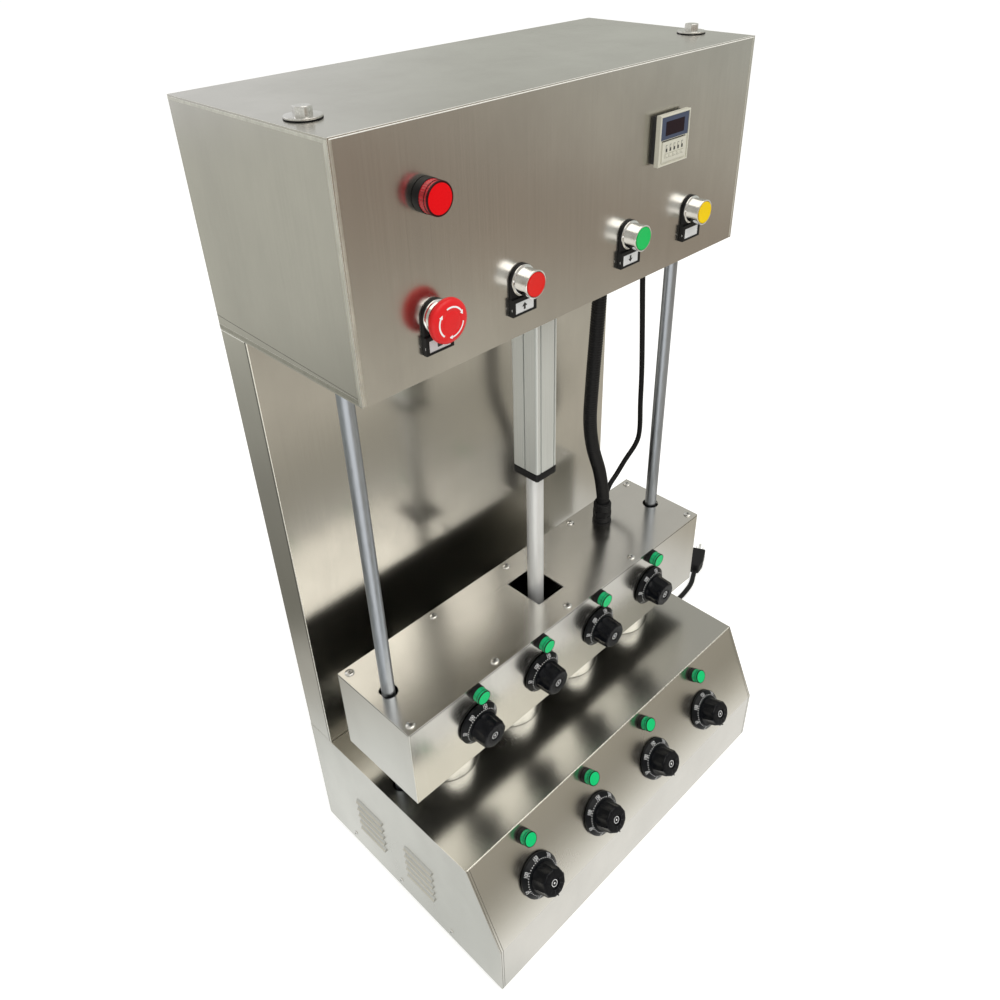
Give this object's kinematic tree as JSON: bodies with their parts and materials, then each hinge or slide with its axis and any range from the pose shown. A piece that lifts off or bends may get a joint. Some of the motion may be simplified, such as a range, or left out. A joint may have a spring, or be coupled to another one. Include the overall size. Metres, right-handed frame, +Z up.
{
  "type": "pizza cone machine",
  "caption": "Countertop press that bakes dough into cones between cup and cone moulds, with a lifting carriage, thermostat dials and a control head.",
  "frame": {"origin": "on the surface that it stands on, in the middle of the machine's plan without its mains lead", "axes": "+Z up, -Y towards the user, +X to the machine's right as its user sees it"},
  "size_m": [0.8828, 0.3953, 1.0093],
  "materials": {
    "stainless": "brushed stainless sheet",
    "bright_steel": "hard chromed and ground steel",
    "turned_metal": "fine turned aluminium",
    "aluminium": "pale anodised",
    "black_plastic": "moulded black",
    "bezel_chrome": "polished ring on a black label holder",
    "dial_black": "satin black with white numbers",
    "rubber": "black, slightly sheened",
    "cream_plastic": "moulded cream",
    "red_plastic": "glossy red",
    "red_lens": "clear red lens",
    "green_plastic": "glossy green",
    "yellow_plastic": "glossy yellow"
  },
  "bodies": {
    "root": {"base_housing": "stainless", "base_bottom_plate": "stainless", "column_housing": "stainless", "rear_cover": "stainless", "head_housing": "stainless", "guide_rod_left": "bright_steel", "guide_rod_right": "bright_steel", "guide_rod_bolt_left": "bright_steel", "guide_rod_bolt_right": "bright_steel", "lower_mould_1": "turned_metal", "lower_mould_2": "turned_metal", "lower_mould_3": "turned_metal", "lower_mould_4": "turned_metal", "actuator_body": "aluminium", "actuator_gearmotor": "aluminium", "actuator_end_cap": "black_plastic", "base_thermostat_bank": "black_plastic", "head_cable_glands": "black_plastic", "mains_strain_relief": "black_plastic", "mains_plug": "black_plastic", "control_body_estop": "bezel_chrome", "control_body_red": "bezel_chrome", "control_body_green": "bezel_chrome", "control_body_yellow": "bezel_chrome", "conduit_hose": "rubber", "signal_cable": "rubber", "mains_lead": "rubber", "mains_coil": "rubber", "mains_run": "rubber", "timer_housing": "cream_plastic", "power_lamp": "red_lens"},
    "carriage": {"carriage_housing": "stainless", "carriage_lid": "stainless", "carriage_thermostat_bank": "black_plastic", "actuator_rod": "aluminium", "lid_cable_glands": "black_plastic", "guide_bushing_left": "black_plastic", "guide_bushing_right": "black_plastic", "upper_mould_1": "turned_metal", "upper_mould_2": "turned_metal", "upper_mould_3": "turned_metal", "upper_mould_4": "turned_metal"},
    "estop_stem": {"estop_stem": "black_plastic"},
    "estop_head": {"estop_head": "red_plastic"},
    "base_dial_1": {"base_dial_1": "dial_black"},
    "base_dial_2": {"base_dial_2": "dial_black"},
    "base_dial_3": {"base_dial_3": "dial_black"},
    "base_dial_4": {"base_dial_4": "dial_black"},
    "carriage_dial_1": {"carriage_dial_1": "dial_black"},
    "carriage_dial_2": {"carriage_dial_2": "dial_black"},
    "carriage_dial_3": {"carriage_dial_3": "dial_black"},
    "carriage_dial_4": {"carriage_dial_4": "dial_black"},
    "button_cap_red": {"button_cap_red": "red_plastic"},
    "button_cap_green": {"button_cap_green": "green_plastic"},
    "button_cap_yellow": {"button_cap_yellow": "yellow_plastic"},
    "timer_key_1": {"timer_key_1": "cream_plastic"},
    "timer_key_2": {"timer_key_2": "cream_plastic"},
    "timer_key_3": {"timer_key_3": "cream_plastic"},
    "timer_key_4": {"timer_key_4": "cream_plastic"},
    "timer_key_5": {"timer_key_5": "cream_plastic"}
  },
  "joints": [
    {"name": "carriage_lift", "type": "slide", "parent": "root", "child": "carriage", "axis": [0, 0, 1], "range_m": [0, 0.25], "deforming": ["conduit_hose", "signal_cable"]},
    {"name": "base_dial_1_turn", "type": "hinge", "parent": "root", "child": "base_dial_1", "pos_m": [-0.1845, -0.15291, 0.13573], "axis": [0, 0.9074, -0.4203], "range_deg": [0, 270]},
    {"name": "base_dial_2_turn", "type": "hinge", "parent": "root", "child": "base_dial_2", "pos_m": [-0.0675, -0.15291, 0.13573], "axis": [0, 0.9074, -0.4203], "range_deg": [0, 270]},
    {"name": "base_dial_3_turn", "type": "hinge", "parent": "root", "child": "base_dial_3", "pos_m": [0.0495, -0.15291, 0.13573], "axis": [0, 0.9074, -0.4203], "range_deg": [0, 270]},
    {"name": "base_dial_4_turn", "type": "hinge", "parent": "root", "child": "base_dial_4", "pos_m": [0.1665, -0.15291, 0.13573], "axis": [0, 0.9074, -0.4203], "range_deg": [0, 270]},
    {"name": "carriage_dial_1_turn", "type": "hinge", "parent": "carriage", "child": "carriage_dial_1", "pos_m": [-0.17095, -0.04235, 0.314], "axis": [0, 1, 0], "range_deg": [0, 270]},
    {"name": "carriage_dial_2_turn", "type": "hinge", "parent": "carriage", "child": "carriage_dial_2", "pos_m": [-0.06065, -0.04235, 0.314], "axis": [0, 1, 0], "range_deg": [0, 270]},
    {"name": "carriage_dial_3_turn", "type": "hinge", "parent": "carriage", "child": "carriage_dial_3", "pos_m": [0.04965, -0.04235, 0.314], "axis": [0, 1, 0], "range_deg": [0, 270]},
    {"name": "carriage_dial_4_turn", "type": "hinge", "parent": "carriage", "child": "carriage_dial_4", "pos_m": [0.15995, -0.04235, 0.314], "axis": [0, 1, 0], "range_deg": [0, 270]},
    {"name": "red_button_press", "type": "slide", "parent": "root", "child": "button_cap_red", "axis": [0, 1, 0], "range_m": [0, 0.003], "stiffness_N_per_m": 800, "springref_m": -0.001},
    {"name": "green_button_press", "type": "slide", "parent": "root", "child": "button_cap_green", "axis": [0, 1, 0], "range_m": [0, 0.003], "stiffness_N_per_m": 800, "springref_m": -0.001},
    {"name": "yellow_button_press", "type": "slide", "parent": "root", "child": "button_cap_yellow", "axis": [0, 1, 0], "range_m": [0, 0.003], "stiffness_N_per_m": 800, "springref_m": -0.001},
    {"name": "estop_press", "type": "slide", "parent": "root", "child": "estop_stem", "axis": [0, 1, 0], "range_m": [0, 0.0045]},
    {"name": "estop_twist", "type": "hinge", "parent": "estop_stem", "child": "estop_head", "pos_m": [-0.187, -0.03975, 0.8415], "axis": [0, 1, 0], "range_deg": [0, 45], "stiffness_Nm_per_rad": 0.05, "springref_deg": -5.73},
    {"name": "timer_key_1_press", "type": "slide", "parent": "root", "child": "timer_key_1", "axis": [0, 1, 0], "range_m": [0, 0.0008], "stiffness_N_per_m": 600, "springref_m": -0.0005},
    {"name": "timer_key_2_press", "type": "slide", "parent": "root", "child": "timer_key_2", "axis": [0, 1, 0], "range_m": [0, 0.0008], "stiffness_N_per_m": 600, "springref_m": -0.0005},
    {"name": "timer_key_3_press", "type": "slide", "parent": "root", "child": "timer_key_3", "axis": [0, 1, 0], "range_m": [0, 0.0008], "stiffness_N_per_m": 600, "springref_m": -0.0005},
    {"name": "timer_key_4_press", "type": "slide", "parent": "root", "child": "timer_key_4", "axis": [0, 1, 0], "range_m": [0, 0.0008], "stiffness_N_per_m": 600, "springref_m": -0.0005},
    {"name": "timer_key_5_press", "type": "slide", "parent": "root", "child": "timer_key_5", "axis": [0, 1, 0], "range_m": [0, 0.0008], "stiffness_N_per_m": 600, "springref_m": -0.0005}
  ]
}
